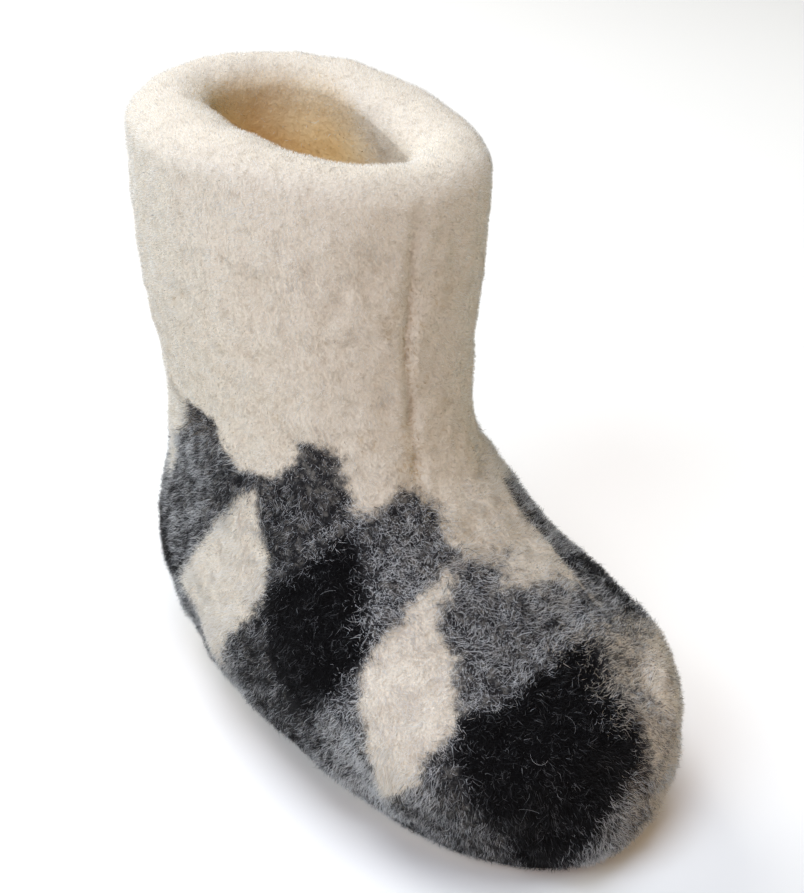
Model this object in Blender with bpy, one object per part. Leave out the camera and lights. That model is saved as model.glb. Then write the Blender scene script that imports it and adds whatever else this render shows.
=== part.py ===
# A child's wool slipper for the right foot: a deep-pile upper with a standing shaft and a thick rolled
# collar, a felt sole let into its lower edge, and a loose wool insole.
# +X points to the toe, +Y to the wearer's left, which is the inner side of this foot, and +Z up.
# The origin lies on the floor under the middle of the slipper's box.
import math

import bmesh
import bpy
import numpy as np

MM = 0.001

# Driving sizes of the upper, in millimetres
LENGTH = 199.0          # heel to toe, over the pile
BALL_WIDTH = 110.0      # widest place of the forefoot, over the pile
COLLAR_HEIGHT = 181.0   # back of the shaft, where the rolled collar starts
COLLAR_CROWN = 0.8      # height of the rolled collar as a share of half its thickness
TOE_SWING = 10.0        # bend of the toe towards the inner side of the foot
SWING_START = 0.22      # share of the length at which that bend begins, from the heel

# Seam up the front of the shaft, a groove in the wall
SEAM_ANGLE = math.radians(-7.5)
SEAM_DEPTH = 2.2
SEAM_WIDTH = 4.0
SEAM_FOOT = (5.0, 6.2)  # places in the table between which the groove grows to its full depth
SEAM_HEAD = (7.3, 8.0)  # places between which it dies out again, below the collar

# Felt sole and wool insole
SOLE_THICKNESS = 5.0
SOLE_EDGE = 1.2         # rounding of the lower edge
SOLE_INSET = 2.5        # sole's edge inside the lowest line of the pile
SKIRT_HEIGHT = 2.2      # pile's lower side above the sole's underside, at the sole's edge
LAP = 3.5               # turned-in edge of the upper that lies on the sole
TOE_SPRING = 3.0
TOE_SPRING_START = 0.80
ARCH_RISE = 1.5
ARCH_RANGE = (0.40, 0.60)
INSOLE_THICKNESS = 6.0
INSOLE_CROWN = 1.5      # rise of the insole's rounded edge
INSOLE_EDGE = 3.0       # width of that rounding
HEEL_CUP = 1.0          # dip in the insole under the heel
HEEL_CUP_SPAN = 0.15    # length of the dip's fall-off as a share of the length

GAP = 0.3               # clearance between neighbouring pieces

# Fineness of the solids
COLUMNS = 60            # points round each section
STEPS = 3               # rings from one section of the table to the next
RIM_STEPS = 7           # rings over the rolled collar
DISC_SHARES = (0.82, 0.58, 0.32)

# Sections of the upper from the sole to the collar. Each lies in one plane, through its foremost and its
# rearmost point. front, back and widest are shares of LENGTH from the heel, the two heights are shares of
# COLLAR_HEIGHT, and width is a share of BALL_WIDTH. The powers give the squareness of the front and back
# halves, where 2 is an ellipse. wall is the thickness of the wall in millimetres.
SECTION_COLUMNS = (
    "front", "front_height", "back", "back_height", "width", "widest", "front_power", "back_power", "wall",
)
SECTIONS = {
    "tuck":    (0.960, 0.017, 0.090, 0.022, 0.700, 0.655, 2.30, 2.55, 12.0),
    "feather": (0.994, 0.060, 0.045, 0.088, 0.830, 0.640, 2.25, 2.45, 13.0),
    "swell":   (0.987, 0.165, 0.018, 0.182, 0.970, 0.648, 2.30, 2.40, 14.0),
    "toe":     (0.940, 0.268, 0.003, 0.270, 0.965, 0.605, 2.45, 2.30, 14.0),
    "vamp":    (0.812, 0.340, 0.000, 0.395, 0.835, 0.522, 2.20, 2.15, 14.0),
    "instep":  (0.667, 0.432, 0.000, 0.503, 0.772, 0.405, 2.10, 2.10, 15.0),
    "ankle":   (0.578, 0.555, 0.001, 0.601, 0.758, 0.305, 2.10, 2.05, 17.0),
    "shaft":   (0.554, 0.754, 0.004, 0.766, 0.880, 0.302, 2.05, 2.05, 20.0),
    "collar":  (0.553, 0.947, 0.000, 0.997, 0.928, 0.280, 2.00, 2.10, 25.0),
}
LOWEST_INSIDE = "swell"  # the inner wall follows the outer one from this section up

# Colours in linear RGB, and the finish that all three kinds of wool share
CREAM_WOOL = (0.72, 0.60, 0.42)
GREY_FELT = (0.20, 0.19, 0.18)
PALE_WOOL = (0.66, 0.55, 0.38)
WOOL_ROUGHNESS = 0.95
SHARP_EDGE = math.radians(50.0)  # steeper edges than this stay sharp in smooth shading


def spline(values, places):
    """Natural cubic spline through rows of values at 0, 1, 2 and so on, read at the given places."""
    count = len(values)
    system = np.eye(count)
    bend = np.zeros_like(values)
    for row in range(1, count - 1):
        system[row, row - 1:row + 2] = (1.0, 4.0, 1.0)
        bend[row] = 6.0 * (values[row - 1] - 2.0 * values[row] + values[row + 1])
    second = np.linalg.solve(system, bend)
    low = np.clip(np.floor(places).astype(int), 0, count - 2)
    after = (places - low)[:, None]
    before = 1.0 - after
    straight = before * values[low] + after * values[low + 1]
    curved = (before**3 - before) * second[low] + (after**3 - after) * second[low + 1]
    return straight + curved / 6.0


def smooth_step(value, start, end):
    share = np.clip((value - start) / (end - start), 0.0, 1.0)
    return share * share * (3.0 - 2.0 * share)


def section_rings(places, angles):
    """Rings of the outer surface at the given places of the table, one row of points for each place."""
    row = dict(zip(SECTION_COLUMNS, spline(np.array(list(SECTIONS.values())), places).T[:, :, None]))
    cosine, sine = np.cos(angles), np.sin(angles)
    ahead = cosine >= 0.0
    power = 2.0 / np.where(ahead, row["front_power"], row["back_power"])
    reach = np.where(ahead, row["front"] - row["widest"], row["back"] - row["widest"])
    along = row["widest"] + reach * np.abs(cosine)**power
    across = 0.5 * BALL_WIDTH * row["width"] * np.sign(sine) * np.abs(sine)**power
    rise = (along - row["back"]) / (row["front"] - row["back"])
    height = row["back_height"] + (row["front_height"] - row["back_height"]) * rise
    swing = np.clip((along - SWING_START) / (1.0 - SWING_START), 0.0, None)**2
    return np.stack([LENGTH * along, across + TOE_SWING * swing, COLLAR_HEIGHT * height], axis=-1)


def unit(vectors):
    return vectors / np.linalg.norm(vectors, axis=-1, keepdims=True)


def outward(rings):
    """Outward normals of a grid of rings that runs upwards."""
    around = np.roll(rings, -1, axis=1) - np.roll(rings, 1, axis=1)
    return unit(np.cross(around, np.gradient(rings, axis=0)))


def inset(ring, distance):
    """The ring moved inwards, level, by a distance. A negative distance moves it outwards."""
    around = np.roll(ring, -1, axis=0) - np.roll(ring, 1, axis=0)
    normal = unit(np.stack([around[:, 1], -around[:, 0], np.zeros(len(ring))], axis=-1))
    return ring - normal * distance


def underside(ring, lift=0.0):
    """The ring laid at the height of the sole's underside, which rises at the arch and the toe."""
    share = ring[:, 0] / LENGTH
    spring = TOE_SPRING * np.clip((share - TOE_SPRING_START) / (1.0 - TOE_SPRING_START), 0.0, None)**2
    middle = np.clip((share - ARCH_RANGE[0]) / (ARCH_RANGE[1] - ARCH_RANGE[0]), 0.0, 1.0)
    arch = ARCH_RISE * np.sin(math.pi * middle)**2
    laid = ring.copy()
    laid[:, 2] = spring + arch + lift
    return laid


def lower_lines(tuck):
    """Two level lines that sole, insole and upper share: the sole's edge and the lap's inner edge."""
    edge = inset(tuck, SOLE_INSET)
    lap = inset(tuck, SOLE_INSET + LAP)
    return edge, lap


def footbed_line(lap, inside):
    """Inner wall at the height of the insole's side: part of the way from the lap to the lowest inner ring."""
    level = underside(lap, SOLE_THICKNESS + GAP + INSOLE_THICKNESS - INSOLE_CROWN)
    share = (level[:, 2:] - SOLE_THICKNESS) / (inside[:, 2:] - SOLE_THICKNESS)
    level[:, :2] += share * (inside[:, :2] - lap[:, :2])
    return level


def outer_surface():
    """Rings of the outer wall from tuck to collar, their normals, and the wall's thickness at each."""
    places = np.linspace(0.0, len(SECTIONS) - 1.0, STEPS * (len(SECTIONS) - 1) + 1)
    angles = SEAM_ANGLE + np.linspace(0.0, 2.0 * math.pi, COLUMNS, endpoint=False)
    rings = section_rings(places, angles)
    normals = outward(rings)
    wall = spline(np.array(list(SECTIONS.values())), places)[:, -1]
    return places, rings, normals, wall


def seam_groove(places, rings, normals):
    """The outer rings with the front seam pressed in along their first column."""
    distance = np.linalg.norm(rings - rings[:, :1], axis=-1)
    fade = smooth_step(places, *SEAM_FOOT) * (1.0 - smooth_step(places, *SEAM_HEAD))
    depth = SEAM_DEPTH * np.exp(-(distance / SEAM_WIDTH)**2) * fade[:, None]
    return rings - normals * depth[:, :, None]


def collar_roll(rings, normals, wall):
    """Half-round rim from the outer wall, over the crown, to the inner wall."""
    upward = unit(rings[-1] - rings[-2])
    radius = 0.5 * wall[-1]
    turn = np.linspace(0.0, math.pi, RIM_STEPS + 2)[1:-1, None, None]
    inwards = normals[-1] * radius * (1.0 - np.cos(turn))
    return rings[-1] - inwards + upward * radius * COLLAR_CROWN * np.sin(turn)


def loft(rings, closed):
    """Faces between neighbouring rings of equal length; a closed loft joins the last ring to the first."""
    count, columns = len(rings), len(rings[0])
    faces = []
    for low in range(count if closed else count - 1):
        high = (low + 1) % count
        for column in range(columns):
            beside = (column + 1) % columns
            faces.append((
                low * columns + column,
                low * columns + beside,
                high * columns + beside,
                high * columns + column,
            ))
    return np.concatenate(rings), faces


def capped(rings):
    """An open loft whose first and last ring are closed by a point in their middle."""
    points, faces = loft(rings, closed=False)
    columns = len(rings[0])
    last = len(points) - columns
    middles = np.stack([rings[0].mean(axis=0), rings[-1].mean(axis=0)])
    bottom, top = len(points), len(points) + 1
    for column in range(columns):
        beside = (column + 1) % columns
        faces.append((beside, column, bottom))
        faces.append((last + column, last + beside, top))
    return np.concatenate([points, middles]), faces


def shrink(ring, share):
    """The ring drawn in towards its middle, level."""
    return ring.mean(axis=0) + (ring - ring.mean(axis=0)) * share


def upper_shape(places, rings, normals, wall):
    """Outer wall, rolled collar, inner wall, lap on the sole and the pile's lower side, as one closed loft."""
    edge, lap = lower_lines(rings[0])
    lowest = STEPS * list(SECTIONS).index(LOWEST_INSIDE)
    inner = rings - normals * wall[:, None, None]
    top_of_sole = SOLE_THICKNESS + GAP
    loops = list(seam_groove(places, rings, normals))
    loops += list(collar_roll(rings, normals, wall))
    loops += list(inner[:lowest - 1:-1])
    loops.append(footbed_line(lap, inner[lowest]))
    loops.append(underside(lap, top_of_sole))
    loops.append(underside(inset(edge, -GAP), top_of_sole))
    loops.append(underside(inset(edge, -GAP), SKIRT_HEIGHT))
    return loft(loops, closed=True)


def sole_shape(rings):
    """A felt sheet with a rounded lower edge, following the arch and the toe's spring."""
    edge = lower_lines(rings[0])[0]
    foot = inset(edge, SOLE_EDGE)
    lower = [underside(shrink(foot, share)) for share in reversed(DISC_SHARES)]
    upper = [underside(shrink(edge, share), SOLE_THICKNESS) for share in DISC_SHARES]
    sides = [underside(foot), underside(edge, SOLE_EDGE), underside(edge, SOLE_THICKNESS)]
    return capped(lower + sides + upper)


def insole_shape(rings, normals, wall):
    """A wool footbed with a rounded upper edge and a dip under the heel."""
    lap = lower_lines(rings[0])[1]
    lowest = STEPS * list(SECTIONS).index(LOWEST_INSIDE)
    inside = rings[lowest] - normals[lowest] * wall[lowest]
    base = SOLE_THICKNESS + 2.0 * GAP
    foot = underside(inset(lap, GAP), base)
    side = inset(footbed_line(lap, inside), GAP)
    brow = underside(inset(side, INSOLE_EDGE), base + INSOLE_THICKNESS)
    lower = [underside(shrink(foot, share), base) for share in reversed(DISC_SHARES)]
    upper = []
    for share in DISC_SHARES:
        ring = underside(shrink(brow, share), base + INSOLE_THICKNESS)
        heel = np.exp(-((ring[:, 0] / LENGTH - ARCH_RANGE[0] / 2.0) / HEEL_CUP_SPAN)**2)
        ring[:, 2] -= HEEL_CUP * (1.0 - share) * heel
        upper.append(ring)
    return capped(lower + [foot, side, brow] + upper)


def wool_material(name, colour):
    material = bpy.data.materials.new(name)
    material.use_nodes = True
    shader = material.node_tree.nodes["Principled BSDF"]
    shader.inputs["Base Color"].default_value = (*colour, 1.0)
    shader.inputs["Roughness"].default_value = WOOL_ROUGHNESS
    shader.inputs["Metallic"].default_value = 0.0
    return material


def add_piece(name, shape, middle, material, collection):
    """One closed mesh object with its faces pointing out, moved so that the slipper is centred."""
    points, faces = shape
    mesh = bpy.data.meshes.new(name)
    mesh.from_pydata(((points - middle) * MM).tolist(), [], faces)
    work = bmesh.new()
    work.from_mesh(mesh)
    bmesh.ops.recalc_face_normals(work, faces=work.faces)
    work.to_mesh(mesh)
    work.free()
    mesh.shade_smooth()
    mesh.set_sharp_from_angle(angle=SHARP_EDGE)
    mesh.materials.append(material)
    piece = bpy.data.objects.new(name, mesh)
    collection.objects.link(piece)
    return piece


def main():
    for item in list(bpy.data.objects):
        bpy.data.objects.remove(item, do_unlink=True)
    collection = bpy.data.collections.new("wool_slipper")
    bpy.context.scene.collection.children.link(collection)
    places, rings, normals, wall = outer_surface()
    corners = rings.reshape(-1, 3)
    middle = 0.5 * (corners.min(axis=0) + corners.max(axis=0))
    middle[2] = 0.0
    plush = wool_material("wool_plush", CREAM_WOOL)
    felt = wool_material("wool_felt", GREY_FELT)
    footbed = wool_material("wool_footbed", PALE_WOOL)
    add_piece("upper", upper_shape(places, rings, normals, wall), middle, plush, collection)
    add_piece("sole", sole_shape(rings), middle, felt, collection)
    add_piece("insole", insole_shape(rings, normals, wall), middle, footbed, collection)


main()
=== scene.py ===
import math

import bpy
import numpy as np
from mathutils import Matrix


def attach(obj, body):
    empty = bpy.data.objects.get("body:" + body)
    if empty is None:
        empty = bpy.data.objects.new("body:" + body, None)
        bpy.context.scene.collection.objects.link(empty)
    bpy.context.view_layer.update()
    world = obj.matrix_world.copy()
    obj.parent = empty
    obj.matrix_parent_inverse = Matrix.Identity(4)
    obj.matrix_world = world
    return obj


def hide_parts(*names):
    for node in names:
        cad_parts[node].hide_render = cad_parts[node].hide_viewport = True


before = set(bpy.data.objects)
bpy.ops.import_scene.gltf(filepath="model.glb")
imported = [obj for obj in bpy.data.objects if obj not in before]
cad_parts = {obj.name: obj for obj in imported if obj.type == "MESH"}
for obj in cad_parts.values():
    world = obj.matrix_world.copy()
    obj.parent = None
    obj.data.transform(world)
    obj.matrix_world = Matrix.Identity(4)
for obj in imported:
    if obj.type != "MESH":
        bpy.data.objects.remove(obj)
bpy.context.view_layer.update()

mm = 0.001
draw = np.random.default_rng(26)
worldUp = np.array((0.0, 0.0, 1.0))

# The form of the upper, in millimetres, from the sole (0) to the collar (8): each row is one section.
# front, back and widest are shares of the length from the heel, heights are shares of the collar's,
# width is a share of the ball's, the powers are the squareness of the front and back half, wall is in mm.
form = dict(
    length=199.0, ballWidth=110.0, collarHeight=181.0, crown=0.8, toeSwing=10.0, swingStart=0.22,
    columns=("front", "frontHeight", "back", "backHeight", "width", "widest", "frontPower", "backPower", "wall"),
    sections=np.array((
        (0.960, 0.017, 0.090, 0.022, 0.700, 0.655, 2.30, 2.55, 12.0),   # tuck
        (0.994, 0.060, 0.045, 0.088, 0.830, 0.640, 2.25, 2.45, 13.0),   # feather
        (0.987, 0.165, 0.018, 0.182, 0.970, 0.648, 2.30, 2.40, 14.0),   # swell
        (0.940, 0.268, 0.003, 0.270, 0.965, 0.605, 2.45, 2.30, 14.0),   # toe
        (0.812, 0.340, 0.000, 0.395, 0.835, 0.522, 2.20, 2.15, 14.0),   # vamp
        (0.667, 0.432, 0.000, 0.503, 0.772, 0.405, 2.10, 2.10, 15.0),   # instep
        (0.578, 0.555, 0.001, 0.601, 0.758, 0.305, 2.10, 2.05, 17.0),   # ankle
        (0.554, 0.754, 0.004, 0.766, 0.880, 0.302, 2.05, 2.05, 20.0),   # shaft
        (0.553, 0.947, 0.000, 0.997, 0.928, 0.280, 2.00, 2.10, 25.0),   # collar
    )),
    middle=np.array((100.0, 2.5, 0.0)),   # corrected below, from the outer rings
)
# the walk along the wall: up the outside to the collar, over it to the lining and down to the lowest inner edge
collarWalk, liningWalk, lowestWalk = 8.0, 9.0, 15.0
# seam up the front of the shaft: a groove beside the middle, grown between the two foot places, lost again at the head;
# tint and shadeReach are the half widths in mm of the tan line in it and of the painted shade beside it
seam = dict(
    angle=math.radians(-7.5), depth=1.6, width=1.9, foot=(5.0, 6.2), head=(7.5, 8.25), samples=301,
    steady=0.8, uneven=((0.4, 5.0, 73),), wander=((0.9, 6.0, 72),), faded=0.02, far=99.0,
    tint=2.4, tan=0.9, deeper=0.02, paintedShade=0.07, shadeReach=13.0,
)
# rim of the collar: thicker at the sides than at the ends, swollen a little on the outer front, in mm
rim = dict(
    side=5.0, end=1.0, start=5.5, tangent=1.0 / 3.0,
    swell=5.0, swellStart=6.6, swellAngle=math.radians(-62.0), swellSpan=math.radians(42.0),
)


def smoothStep(value, start, end):
    # 3t^2 - 2t^3 between start and end
    share = np.clip((value - start) / (end - start), 0.0, 1.0)
    return share * share * (3.0 - 2.0 * share)


def window(value, start, end):
    # grown over the first range and lost again over the second
    return smoothStep(value, *start) * (1.0 - smoothStep(value, *end))


def unit(vectors):
    # vectors over their own length
    return vectors / np.maximum(np.linalg.norm(vectors, axis=-1, keepdims=True), 1e-9)


def naturalSpline(values, places):
    # cubic through rows at 0, 1, 2 ...: straight part plus a sixth of the blended second differences
    count = len(values)
    system = np.eye(count)
    bend = np.zeros_like(values)
    for row in range(1, count - 1):
        system[row, row - 1:row + 2] = (1.0, 4.0, 1.0)
        bend[row] = 6.0 * (values[row - 1] - 2.0 * values[row] + values[row + 1])
    second = np.linalg.solve(system, bend)
    low = np.clip(np.floor(places).astype(int), 0, count - 2)
    after = (places - low)[..., None]
    before = 1.0 - after
    straight = before * values[low] + after * values[low + 1]
    return straight + ((before**3 - before) * second[low] + (after**3 - after) * second[low + 1]) / 6.0


def outerPoint(place, angle):
    # a point of the pile's outer face: half superellipses before and behind the widest place, on a tilted plane
    row = dict(zip(form["columns"], np.moveaxis(naturalSpline(form["sections"], place), -1, 0)))
    cosine, sine = np.cos(angle), np.sin(angle)
    ahead = cosine >= 0.0
    power = 2.0 / np.where(ahead, row["frontPower"], row["backPower"])
    reach = np.where(ahead, row["front"], row["back"]) - row["widest"]
    along = row["widest"] + reach * np.abs(cosine)**power
    across = 0.5 * form["ballWidth"] * row["width"] * np.sign(sine) * np.abs(sine)**power
    rise = (along - row["back"]) / (row["front"] - row["back"])
    height = row["backHeight"] + (row["frontHeight"] - row["backHeight"]) * rise
    swing = np.clip((along - form["swingStart"]) / (1.0 - form["swingStart"]), 0.0, None)**2
    point = np.stack((form["length"] * along, across + form["toeSwing"] * swing, form["collarHeight"] * height), -1)
    return point - form["middle"]


def outerNormal(place, angle):
    # cross product of the steps round and up the surface
    step = 0.004
    place = np.clip(place, step, collarWalk - step)
    roundStep = outerPoint(place, angle + step) - outerPoint(place, angle - step)
    upStep = outerPoint(place + step, angle) - outerPoint(place - step, angle)
    return unit(np.cross(roundStep, upStep))


def wallPoint(walk, angle):
    # walk 0 to 8 goes up the outside, 8 to 9 over the rolled collar, 9 to 15 down the inside: the outer face less the
    # wall along its normal, with half an ellipse over the collar
    place = np.where(walk < liningWalk, np.minimum(walk, collarWalk), collarWalk - (walk - liningWalk))
    place = np.clip(place, 0.0, collarWalk)
    point = outerPoint(place, angle)
    normal = outerNormal(place, angle)
    upward = unit(point - outerPoint(np.maximum(place - rim["tangent"], 0.0), angle))
    plainWall = naturalSpline(form["sections"], place)[..., -1]
    thicker = rim["side"] * np.sin(angle)**2 - rim["end"] * np.cos(angle)**2
    wall = plainWall + thicker * smoothStep(place, rim["start"], collarWalk)
    turn = np.clip(walk - collarWalk, 0.0, 1.0) * math.pi
    inwards = 0.5 * wall * (1.0 - np.cos(turn))
    crown = 0.5 * plainWall * form["crown"] * np.sin(turn)
    aside = (angle - rim["swellAngle"] + math.pi) % (2.0 * math.pi) - math.pi
    swell = rim["swell"] * np.exp(-(aside / rim["swellSpan"])**2) * smoothStep(place, rim["swellStart"], collarWalk)
    return point - normal * inwards[..., None] + upward * crown[..., None] + swell[..., None] * worldUp


def wallFrame(walk, angle):
    # point, outward normal, upward and sideways unit steps of the wall's skin
    step = 0.006
    point = wallPoint(walk, angle)
    around = wallPoint(walk, angle + step) - wallPoint(walk, angle - step)
    upward = wallPoint(walk + step, angle) - wallPoint(walk - step, angle)
    normal = unit(np.cross(around, upward))
    upward = unit(upward)
    return point, normal, upward, np.cross(upward, normal)


noise = dict(primes=np.array((73856093, 19349663, 83492791)), twist=1274126177, seedStep=17.31)


def softNoise(points, size, seed):
    # value noise from -1 to 1: hashed lattice values, blended by a smooth step along each axis
    grid = points / size + seed * noise["seedStep"]
    base = np.floor(grid).astype(np.int64)
    part = grid - base
    part = part * part * (3.0 - 2.0 * part)
    total = np.zeros(points.shape[:-1])
    for corner in np.ndindex(2, 2, 2):
        weight = np.prod(np.where(np.array(corner) == 1, part, 1.0 - part), axis=-1)
        cell = (base + np.array(corner)) * noise["primes"]
        code = cell[..., 0] ^ cell[..., 1] ^ cell[..., 2]
        code = (code ^ (code >> 13)) * noise["twist"]
        code = (code ^ (code >> 16)) & 0xffff
        total += weight * (code / 32767.5 - 1.0)
    return total


def layers(points, table):
    # sum of noises; each row of the table is a height, a size in mm and a seed
    return sum(height * softNoise(points, size, seed) for height, size, seed in table)


rings = outerPoint(*np.meshgrid(np.linspace(0.0, collarWalk, 25), np.linspace(0.0, 2.0 * math.pi, 360), indexing="ij"))
form["middle"] = form["middle"] + 0.5 * (rings.min(axis=(0, 1)) + rings.max(axis=(0, 1))) * (1.0, 1.0, 0.0)
print("form: middle of the box at", form["middle"].round(2))

# Its columns are lines x + lean * (y - edge) = reach on the outer side, which turn slowly towards the toe; on the
# inner side they count back to the heel. Rows are the places of the lattice's corners.
check = dict(
    edge=-48.0, rounds=8, settle=0.6,               # a column and its lean settle in a few rounds
    columns=(-4.5, -2.5, -1.8, -1.5, -1.0, -0.5, 0.0, 0.5, 1.0, 1.5, 2.0, 2.5),
    lean=(-0.90, -0.84, -1.15, -0.95, -0.63, -0.14, 0.34, 0.43, 0.46, 0.55, 0.61, 0.62),
    reach=(-177.0, -112.6, -80.0, -48.8, -19.0, -2.5, 19.4, 39.0, 51.3, 72.9, 104.5, 130.6),
    innerPlan=(0.88, -0.48), innerHeel=0.11, heelRange=(40.0, 75.0), innerMirror=5.0,
    innerReach=(-149.0, -14.0, 5.0, 19.0, 32.0, 51.0, 69.0),
    innerColumns=(9.15, 5.0, 4.5, 4.0, 3.5, 3.0, 2.5),
    innerDrop=0.6, dropStart=(2.5, 3.2), dropEnd=(4.5, 8.0),
    blunt=((-1.6, -1.2), (0.82, 0.64)), filled=-0.80, toeLine=4.15, toeColumn=2.8, toeSpan=1.3,
    waves=((17.0, 2.4, 41), (8.0, 1.7, 47), (3.4, 1.4, 44)),   # size, bend, seed
    placeWaves=((0.09, 15.0, 43), (0.04, 3.0, 46)),            # bend, size, seed
    halfSteps=(-2.5, -1.5, -0.5, 0.5, 1.5, 2.5),
    tips=(4.30, 6.36, 6.60, 6.02, 4.65, 3.95),      # of the upper grey squares
    sides=(2.30, 2.54, 3.79, 3.86, 3.39, 2.58),     # side corners of the black and cream squares
    steps=(-2.0, -1.0, 0.0, 1.0, 2.0, 3.0),
    tops=(3.20, 5.34, 5.26, 4.99, 3.80, 3.42),      # of the black and cream squares
    feet=(0.90, 1.40, 2.10, 1.30, -0.50, 0.43),     # their lower tips
    crest=((-40.0, 22.0), (18.0, 22.0), (40.0, 25.0), (68.0, 24.0), (95.0, 10.0)),   # where outer and inner side meet
)
creamShade, blackShade = 0.25, 0.75


def checkCell(point, place):
    # column and row of each point in the lattice, turned 45 degrees into the two stripes of the gingham
    x, y = point[..., 0], point[..., 1]
    x, y = point[..., 0], point[..., 1]
    inner = y > np.interp(x, *np.array(check["crest"]).T)
    outerColumn = np.interp(x, check["reach"], check["columns"])
    for turn in range(check["rounds"]):
        lean = np.interp(outerColumn, check["columns"], check["lean"])
        found = np.interp(x + lean * (y - check["edge"]), check["reach"], check["columns"])
        outerColumn = (1.0 - check["settle"]) * outerColumn + check["settle"] * found
    heel = check["innerHeel"] * (-check["edge"] - y) * smoothStep(-x, *check["heelRange"])
    planX, planY = check["innerPlan"]
    innerColumn = np.interp(planX * x + planY * y - heel, check["innerReach"], check["innerColumns"])
    column = np.where(inner, innerColumn, outerColumn)
    mirrored = np.where(inner, check["innerMirror"] - column, column)
    drop = np.where(inner, check["innerDrop"] * window(column, check["dropStart"], check["dropEnd"]), 0.0)
    lattice = (("halfSteps", "tips"), ("steps", "tops"), ("halfSteps", "sides"), ("steps", "feet"))
    corners = [np.interp(mirrored, check[steps], check[row]) - drop for steps, row in lattice]
    row = np.minimum((corners[0] - place) / (corners[0] - corners[1]), 0.0)
    for upper, lower in zip(corners, corners[1:]):
        row = row + np.clip((upper - place) / (upper - lower), 0.0, 1.0)
    row = row + np.maximum((corners[3] - place) / (corners[2] - corners[3]), 0.0)
    return column, column + 0.5 * (row - 2.0), column - 0.5 * (row - 2.0)


def checkShade(point, place):
    # 0 cream, 0.5 grey, 1 black: half the sum of two stripes that are dark on even counts. Above the zigzag all is
    # cream and below the lowest tips all is grey; tips are blunt, notches filled, also by grey over the toe, and waves
    # of three sizes bend every border
    moved = point.copy()
    for size, bend, seed in check["waves"]:
        moved[..., :2] += bend * np.stack((softNoise(point, size, seed), softNoise(point, size, seed + 1)), -1)
    column, first, second = checkCell(moved, place + layers(point, check["placeWaves"]))
    firstStripe, secondStripe = np.round(first), np.round(second)
    shade = 0.5 * ((firstStripe % 2 == 0) * 1.0 + (secondStripe % 2 == 0) * 1.0)
    level = secondStripe - firstStripe
    climb = (second - secondStripe) - (first - firstStripe)   # from -1 at a square's lower tip to 1 at its upper tip
    shade = np.where((level == 1.0) & (climb > np.interp(column, *check["blunt"])), 0.0, shade)
    shade = np.where(level <= -2.0, 0.5, shade)
    overToe = (np.abs(column - check["toeColumn"]) < check["toeSpan"]) & (place < check["toeLine"])
    notch = (level == 2.0) & (climb < check["filled"])
    shade = np.where(level >= 2.0, np.where(overToe | notch, 0.5, 0.0), shade)
    return shade, column, level, np.where(level == 1.0, climb, -1.0)


seamWalk = np.linspace(0.0, lowestWalk, seam["samples"])
seamLine = wallPoint(seamWalk, np.full(seam["samples"], seam["angle"]))
seamFade = window(seamWalk, seam["foot"], seam["head"]) * (seam["steady"] + layers(seamLine, seam["uneven"]))
seamLine[:, 1] += layers(seamLine, seam["wander"])


def seamDepth(walk, point):
    # bell-shaped groove along a line that wanders a little, and the distance from that line, far off where it has faded
    line = np.stack([np.interp(walk, seamWalk, values) for values in seamLine.T], -1)
    distance = np.linalg.norm(point - line, axis=-1)
    fade = np.interp(walk, seamWalk, seamFade)
    groove = seam["depth"] * np.exp(-(distance / seam["width"])**2) * fade
    return groove, distance + seam["far"] * (fade < seam["faded"])


# Creases: soft troughs along lines on the wall, from one place and angle to another; depth and half width in mm
creases = dict(
    ankleBend=dict(places=(5.45, 5.62, 5.50), angles=(-52.0, -12.0, 34.0), depth=1.5, width=6.0),
    instepFold=dict(places=(4.72, 4.90, 4.78), angles=(-34.0, -4.0, 30.0), depth=0.9, width=5.0),
    heelWaist=dict(places=(5.40, 5.30, 5.34), angles=(-178.0, -140.0, -104.0), depth=1.3, width=7.0),
    heelWaistInner=dict(places=(5.36, 5.28, 5.40), angles=(176.0, 138.0, 100.0), depth=1.2, width=7.0),
    flankNick=dict(places=(5.02, 5.05, 5.00), angles=(-84.0, -80.0, -76.0), depth=1.2, width=1.1),
    toeDip=dict(places=(3.20, 3.30, 3.25), angles=(-30.0, -8.0, 16.0), depth=0.8, width=7.0),
)


def creaseDepth(point):
    # deepest of the troughs at each point: depth times a bell of the distance from the crease's line
    depth = np.zeros(point.shape[:-1])
    share = np.linspace(0.0, 2.0, 25)
    for crease in creases.values():
        place, angle = (np.interp(share, (0.0, 1.0, 2.0), crease[name]) for name in ("places", "angles"))
        line = outerPoint(place, np.radians(angle))
        reach = 3.0 * crease["width"]
        close = np.all((point > line.min(axis=0) - reach) & (point < line.max(axis=0) + reach), axis=-1)
        nearest = np.full(np.count_nonzero(close), np.inf)
        for knot in line:
            nearest = np.minimum(nearest, np.sum((point[close] - knot)**2, axis=-1))
        depth[close] = np.maximum(depth[close], crease["depth"] * np.exp(-nearest / crease["width"]**2))
    return depth


# Unevenness of the sheared wool: noises in rows of height, size and seed, and the walks over which they come and go
uneven = dict(
    broad=((0.9, 34.0, 3), (0.7, 15.0, 5)), onFoot=0.9, lessOnShaft=0.3, shaft=(5.0, 6.2),
    tuft=((0.60, 6.0, 8), (0.36, 3.2, 11)), lessOnCollar=0.55, collar=(7.6, 8.2),
    hem=((2.6, 13.0, 15),), hemStart=(0.1, 0.8), hemEnd=(1.4, 3.0),
    crest=((0.45, 10.0, 13), (0.15, 5.0, 14)), crestStart=(8.05, 8.4), crestEnd=(8.7, 9.2),
    start=(0.0, 1.3), end=(14.0, 15.0), slopeStep=0.5,
)


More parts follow.
